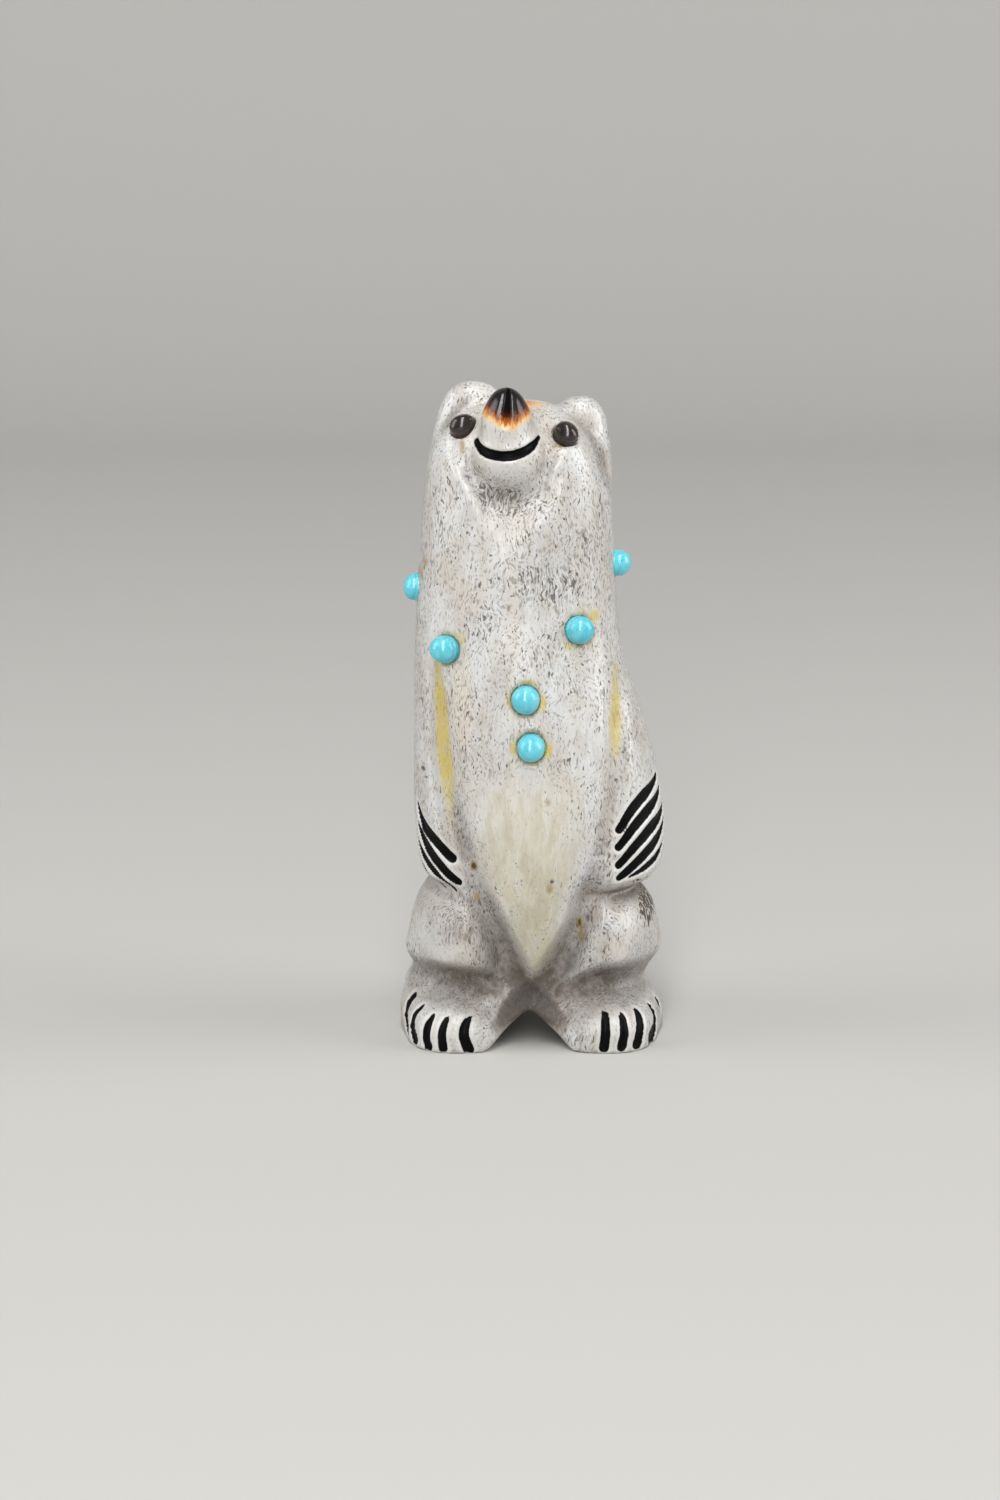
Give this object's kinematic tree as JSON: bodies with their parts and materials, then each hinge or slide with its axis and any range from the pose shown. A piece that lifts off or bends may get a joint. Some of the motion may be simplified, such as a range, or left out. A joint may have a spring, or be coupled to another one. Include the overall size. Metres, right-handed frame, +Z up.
{
  "type": "zuni fetish",
  "caption": "Standing bear with its head thrown back, carved in one piece from an antler beam, with turquoise cabochons set in its chest, belly and sides.",
  "frame": {"origin": "on the ground, under the middle of the figure", "axes": "+Z up along the figure, the bear faces -Y, +X is the viewer's right"},
  "size_m": [0.0388, 0.0352, 0.0959],
  "materials": {
    "polished_antler": "polished antler, grey-white outer layer with fine dark flecks, cream where it is carved deeper",
    "turquoise": "polished turquoise",
    "dark_stone": "polished, glossy"
  },
  "bodies": {
    "root": {"antler_bear": "polished_antler", "turquoise_chest_left": "turquoise", "turquoise_chest_right": "turquoise", "turquoise_belly_upper": "turquoise", "turquoise_belly_lower": "turquoise", "turquoise_shoulder_left": "turquoise", "turquoise_shoulder_right": "turquoise", "eye_left": "dark_stone", "eye_right": "dark_stone"}
  },
  "joints": []
}
